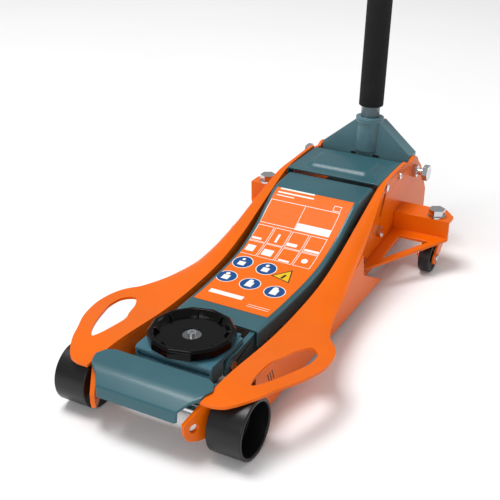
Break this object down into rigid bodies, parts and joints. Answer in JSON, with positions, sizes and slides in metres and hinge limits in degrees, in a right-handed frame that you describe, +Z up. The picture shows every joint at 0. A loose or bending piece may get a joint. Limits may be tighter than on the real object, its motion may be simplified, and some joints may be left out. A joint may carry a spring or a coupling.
{
  "type": "trolley jack",
  "caption": "Low-profile hydraulic trolley jack: wheeled pressed chassis, lift arm with a level turning saddle, caster wheels and a tall pumping handle.",
  "frame": {"origin": "on the floor under the middle of the whole jack, handle included", "axes": "+X to the front rollers, +Y to the left of the jack, +Z up"},
  "size_m": [0.8098, 0.366, 1.1488],
  "materials": {
    "orange_paint": "gloss orange enamel on pressed steel",
    "teal_paint": "satin blue-green enamel",
    "roller_black": "satin black moulded nylon",
    "wheel_black": "satin black moulded nylon",
    "label_print": null,
    "saddle_black": "gloss black enamel on a casting",
    "foam_black": "closed-cell foam",
    "grip_rubber": "moulded rubber",
    "tube_steel": "satin grey enamel",
    "dark_steel": "satin black",
    "zinc_steel": "bright zinc plate"
  },
  "bodies": {
    "chassis": {"side_plate_left": "orange_paint", "side_plate_right": "orange_paint", "wing_left": "orange_paint", "wing_right": "orange_paint", "front_cover": "teal_paint", "front_axle": "zinc_steel", "axle_rings": "zinc_steel", "rear_cover": "teal_paint", "cover_screws": "zinc_steel", "base_plate": "orange_paint", "base_bolts": "zinc_steel", "rear_spacer": "orange_paint", "pivot_block_left": "orange_paint", "pivot_block_right": "orange_paint", "pivot_block_bolts": "zinc_steel", "arm_shaft": "zinc_steel", "link_anchors": "zinc_steel", "caster_bracket_left": "orange_paint", "caster_bracket_right": "orange_paint", "kingpins": "zinc_steel", "ram_cylinder": "dark_steel", "cylinder_gland": "zinc_steel", "reservoir": "orange_paint", "filler_plug": "grip_rubber", "pump_body": "dark_steel", "socket_bolts": "zinc_steel"},
    "front_roller_left": {"roller_left": "roller_black"},
    "front_roller_right": {"roller_right": "roller_black"},
    "lift_arm": {"arm_side_left": "teal_paint", "arm_side_right": "teal_paint", "arm_cover": "teal_paint", "arm_label": "label_print", "arm_crank": "teal_paint", "crank_pin": "zinc_steel", "nose_pin": "zinc_steel"},
    "carrier": {"saddle_carrier": "teal_paint", "link_pin": "zinc_steel"},
    "saddle_plate": {"saddle": "saddle_black", "saddle_washer": "zinc_steel", "saddle_screw": "zinc_steel"},
    "level_links": {"level_link_left": "dark_steel", "level_link_right": "dark_steel"},
    "ram_rod": {"ram": "zinc_steel", "ram_yoke": "dark_steel"},
    "socket": {"handle_socket": "teal_paint", "socket_rollers": "zinc_steel"},
    "handle": {"handle_tube": "tube_steel", "foam_sleeve": "foam_black", "handle_grip": "grip_rubber", "release_drive": "zinc_steel"},
    "valve": {"release_valve": "zinc_steel"},
    "pump_plunger_left": {"plunger_left": "zinc_steel"},
    "pump_plunger_right": {"plunger_right": "zinc_steel"},
    "fork_left": {"caster_fork_left": "orange_paint", "caster_axle_left": "zinc_steel"},
    "fork_right": {"caster_fork_right": "orange_paint", "caster_axle_right": "zinc_steel"},
    "rear_wheel_left": {"caster_wheel_left": "wheel_black"},
    "rear_wheel_right": {"caster_wheel_right": "wheel_black"}
  },
  "joints": [
    {"name": "arm_lift", "type": "hinge", "parent": "chassis", "child": "lift_arm", "pos_m": [-0.13206, 0, 0.08], "axis": [0, -1, 0], "range_deg": [0, 58]},
    {"name": "saddle_level", "type": "hinge", "parent": "lift_arm", "child": "carrier", "pos_m": [0.26994, 0, 0.06], "axis": [0, -1, 0], "range_deg": [-58, 0]},
    {"name": "saddle_turn", "type": "hinge", "parent": "carrier", "child": "saddle_plate", "pos_m": [0.27194, 0, 0.086], "axis": [0, 0, 1], "continuous": true},
    {"name": "link_swing", "type": "hinge", "parent": "chassis", "child": "level_links", "pos_m": [-0.10206, 0, 0.05], "axis": [0, -1, 0], "range_deg": [0, 58]},
    {"name": "ram_slide", "type": "slide", "parent": "chassis", "child": "ram_rod", "axis": [1, 0, 0], "range_m": [0, 0.0389]},
    {"name": "handle_swing", "type": "hinge", "parent": "chassis", "child": "socket", "pos_m": [-0.31206, 0, 0.13], "axis": [0, -1, 0], "range_deg": [-5, 60]},
    {"name": "plunger_left_slide", "type": "slide", "parent": "chassis", "child": "pump_plunger_left", "axis": [1, 0, 0], "range_m": [-0.0025, 0.0275]},
    {"name": "plunger_right_slide", "type": "slide", "parent": "chassis", "child": "pump_plunger_right", "axis": [1, 0, 0], "range_m": [-0.0025, 0.0275]},
    {"name": "handle_turn", "type": "hinge", "parent": "socket", "child": "handle", "pos_m": [-0.31206, 0, 0.13], "axis": [-0.0715, 0, 0.9974], "range_deg": [0, 180]},
    {"name": "valve_turn", "type": "hinge", "parent": "chassis", "child": "valve", "pos_m": [-0.31206, 0, 0.08], "axis": [0, 0, 1], "range_deg": [0, 180]},
    {"name": "roller_left_spin", "type": "hinge", "parent": "chassis", "child": "front_roller_left", "pos_m": [0.34994, 0.113, 0.04], "axis": [0, 1, 0], "continuous": true},
    {"name": "roller_right_spin", "type": "hinge", "parent": "chassis", "child": "front_roller_right", "pos_m": [0.34994, -0.113, 0.04], "axis": [0, 1, 0], "continuous": true},
    {"name": "caster_left_swivel", "type": "hinge", "parent": "chassis", "child": "fork_left", "pos_m": [-0.24006, 0.157, 0.08], "axis": [0, 0, 1], "continuous": true},
    {"name": "caster_left_spin", "type": "hinge", "parent": "fork_left", "child": "rear_wheel_left", "pos_m": [-0.21406, 0.157, 0.025], "axis": [0, 1, 0], "continuous": true},
    {"name": "caster_right_swivel", "type": "hinge", "parent": "chassis", "child": "fork_right", "pos_m": [-0.24006, -0.157, 0.08], "axis": [0, 0, 1], "continuous": true},
    {"name": "caster_right_spin", "type": "hinge", "parent": "fork_right", "child": "rear_wheel_right", "pos_m": [-0.21406, -0.157, 0.025], "axis": [0, 1, 0], "continuous": true}
  ],
  "couplings": [
    {"joint": "saddle_level", "follows": "arm_lift", "ratio": -1},
    {"joint": "link_swing", "follows": "arm_lift", "ratio": 1},
    {"joint": "ram_slide", "follows": "arm_lift", "m_per_rad": 0.038314},
    {"joint": "plunger_left_slide", "follows": "handle_swing", "m_per_rad": 0.026},
    {"joint": "plunger_right_slide", "follows": "handle_swing", "m_per_rad": 0.026},
    {"joint": "valve_turn", "follows": "handle_turn", "ratio": 1}
  ]
}
